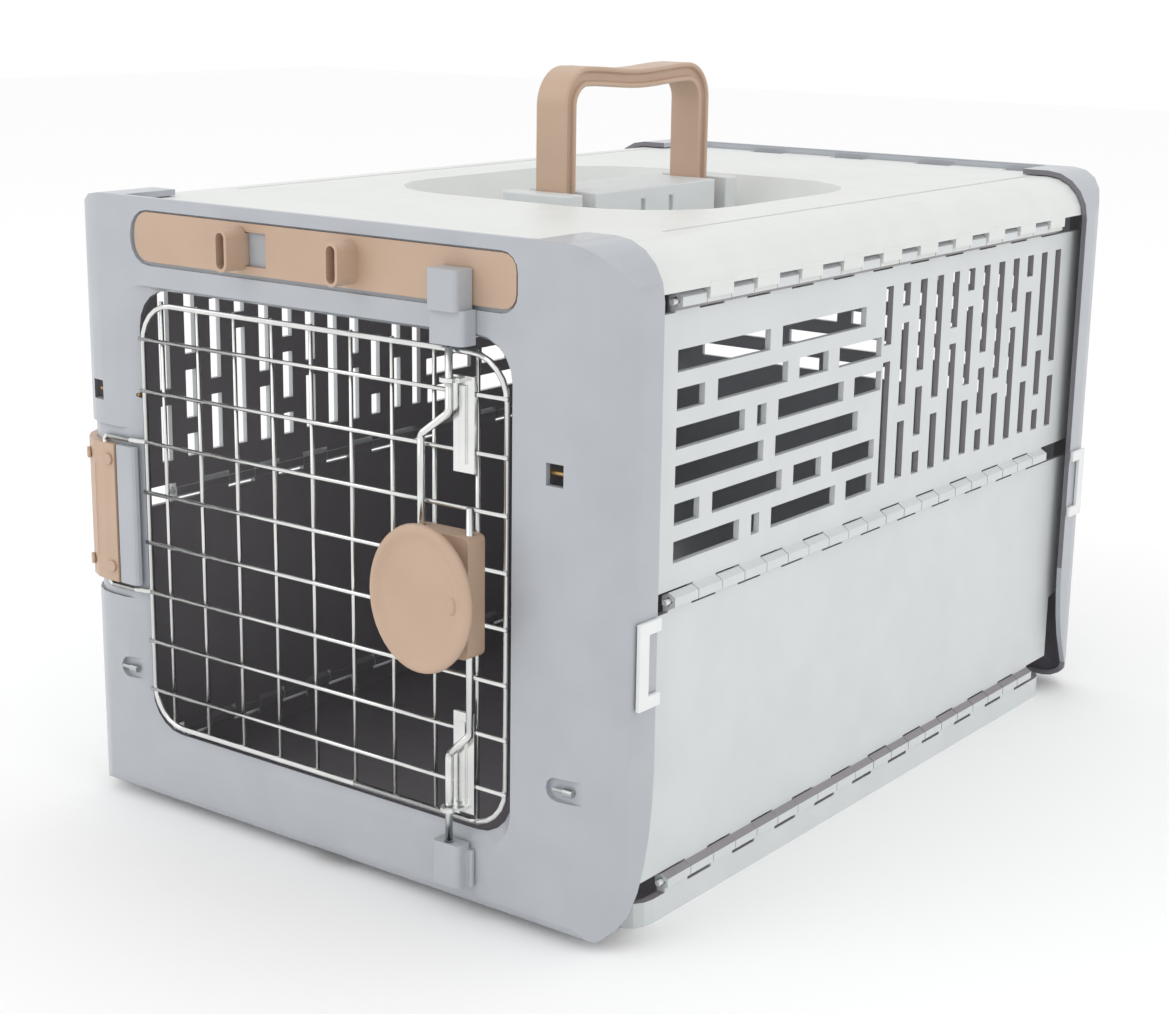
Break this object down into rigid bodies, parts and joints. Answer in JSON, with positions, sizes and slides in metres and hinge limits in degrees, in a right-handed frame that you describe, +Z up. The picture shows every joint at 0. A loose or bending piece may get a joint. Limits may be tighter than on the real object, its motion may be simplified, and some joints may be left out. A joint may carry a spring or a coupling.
{
  "type": "folding pet carrier",
  "caption": "Folding plastic pet carrier: vented side walls that fold inward, a sinking roof, tilting end shells, a wire mesh door with a turn-knob latch and a carrying handle.",
  "frame": {"origin": "centre of the footprint, on the underside of the floor tray", "axes": "+Z up, the wire door faces -Y, the length runs along Y, +X is to the right seen from the door"},
  "size_m": [0.345, 0.538, 0.377],
  "materials": {
    "blue_grey_plastic": "semi-gloss moulded",
    "pale_grey_plastic": "satin moulded",
    "roof_plastic": "satin moulded",
    "beige_plastic": "satin moulded",
    "white_plastic": "satin moulded",
    "chromed_wire": "bright plated",
    "steel_pin": "plain",
    "brass_pin": "dull"
  },
  "bodies": {
    "base": {"floor_tray": "pale_grey_plastic", "base_hinge_pin_right": "white_plastic", "base_hinge_pin_left": "white_plastic", "front_pivot_pin": "steel_pin", "rear_pivot_pin": "steel_pin"},
    "lower_right": {"lower_side_right": "pale_grey_plastic", "mid_hinge_pin_right": "white_plastic"},
    "upper_right": {"upper_side_right": "pale_grey_plastic"},
    "roof": {"roof_panel": "roof_plastic", "top_hinge_pin_right": "white_plastic", "top_hinge_pin_left": "white_plastic", "handle_block": "pale_grey_plastic", "handle_pin_front": "steel_pin", "handle_pin_rear": "steel_pin"},
    "lower_left": {"lower_side_left": "pale_grey_plastic", "mid_hinge_pin_left": "white_plastic"},
    "upper_left": {"upper_side_left": "pale_grey_plastic"},
    "front_end": {"front_shell": "blue_grey_plastic", "front_latch_bar": "beige_plastic", "catch_pin_right": "brass_pin", "catch_pin_left": "brass_pin", "low_screw_right": "steel_pin", "low_screw_left": "steel_pin", "clip_front_right": "white_plastic", "clip_front_left": "white_plastic", "hinge_plate": "beige_plastic", "hinge_screw_1": "beige_plastic", "hinge_screw_2": "beige_plastic", "hinge_screw_3": "beige_plastic", "hinge_screw_4": "beige_plastic", "hinge_block": "blue_grey_plastic", "top_keeper": "blue_grey_plastic", "bottom_keeper": "blue_grey_plastic"},
    "rear_end": {"rear_shell": "blue_grey_plastic", "rear_latch_bar": "beige_plastic", "clip_rear_right": "white_plastic", "clip_rear_left": "white_plastic"},
    "front_grip": {"front_latch_slider": "beige_plastic"},
    "rear_grip": {"rear_latch_slider": "beige_plastic"},
    "door": {"door_mesh": "chromed_wire", "latch_box": "beige_plastic", "upper_guide": "chromed_wire", "lower_guide": "chromed_wire"},
    "knob": {"latch_knob": "beige_plastic"},
    "bolt_up": {"upper_rod": "chromed_wire"},
    "bolt_down": {"lower_rod": "chromed_wire"},
    "carry_handle": {"handle": "beige_plastic"}
  },
  "joints": [
    {"name": "side_fold", "type": "hinge", "parent": "base", "child": "lower_right", "pos_m": [0.161, 0, 0.017], "axis": [0, -1, 0], "range_deg": [0, 84]},
    {"name": "right_knee", "type": "hinge", "parent": "lower_right", "child": "upper_right", "pos_m": [0.161, 0, 0.152], "axis": [0, 1, 0], "range_deg": [0, 168]},
    {"name": "roof_drop", "type": "hinge", "parent": "upper_right", "child": "roof", "pos_m": [0.161, 0, 0.287], "axis": [0, -1, 0], "range_deg": [0, 84]},
    {"name": "left_fold", "type": "hinge", "parent": "base", "child": "lower_left", "pos_m": [-0.161, 0, 0.017], "axis": [0, 1, 0], "range_deg": [0, 84]},
    {"name": "left_knee", "type": "hinge", "parent": "lower_left", "child": "upper_left", "pos_m": [-0.161, 0, 0.152], "axis": [0, -1, 0], "range_deg": [0, 168]},
    {"name": "front_tilt", "type": "hinge", "parent": "base", "child": "front_end", "pos_m": [0, -0.237, 0.022], "axis": [1, 0, 0], "range_deg": [0, 75]},
    {"name": "rear_tilt", "type": "hinge", "parent": "base", "child": "rear_end", "pos_m": [0, 0.237, 0.022], "axis": [-1, 0, 0], "range_deg": [0, 75]},
    {"name": "door_swing", "type": "hinge", "parent": "front_end", "child": "door", "pos_m": [-0.146, -0.25, 0.155], "axis": [0, 0, -1], "range_deg": [0, 115]},
    {"name": "knob_turn", "type": "hinge", "parent": "door", "child": "knob", "pos_m": [0.084, -0.262, 0.157], "axis": [0, 1, 0], "range_deg": [0, 45]},
    {"name": "upper_bolt", "type": "slide", "parent": "door", "child": "bolt_up", "axis": [0, 0, 1], "range_m": [0, 0.0112]},
    {"name": "lower_bolt", "type": "slide", "parent": "door", "child": "bolt_down", "axis": [0, 0, -1], "range_m": [0, 0.0112]},
    {"name": "front_release", "type": "slide", "parent": "front_end", "child": "front_grip", "axis": [1, 0, 0], "range_m": [0, 0.0118]},
    {"name": "rear_release", "type": "slide", "parent": "rear_end", "child": "rear_grip", "axis": [-1, 0, 0], "range_m": [0, 0.0118]},
    {"name": "handle_tilt", "type": "hinge", "parent": "roof", "child": "carry_handle", "pos_m": [0, -0.008, 0.3], "axis": [0, 1, 0], "range_deg": [-84, 84]}
  ],
  "couplings": [
    {"joint": "right_knee", "follows": "side_fold", "ratio": 2},
    {"joint": "roof_drop", "follows": "side_fold", "ratio": 1},
    {"joint": "left_fold", "follows": "side_fold", "ratio": 1},
    {"joint": "left_knee", "follows": "side_fold", "ratio": 2},
    {"joint": "upper_bolt", "follows": "knob_turn", "m_per_rad": 0.014},
    {"joint": "lower_bolt", "follows": "knob_turn", "m_per_rad": 0.014}
  ]
}
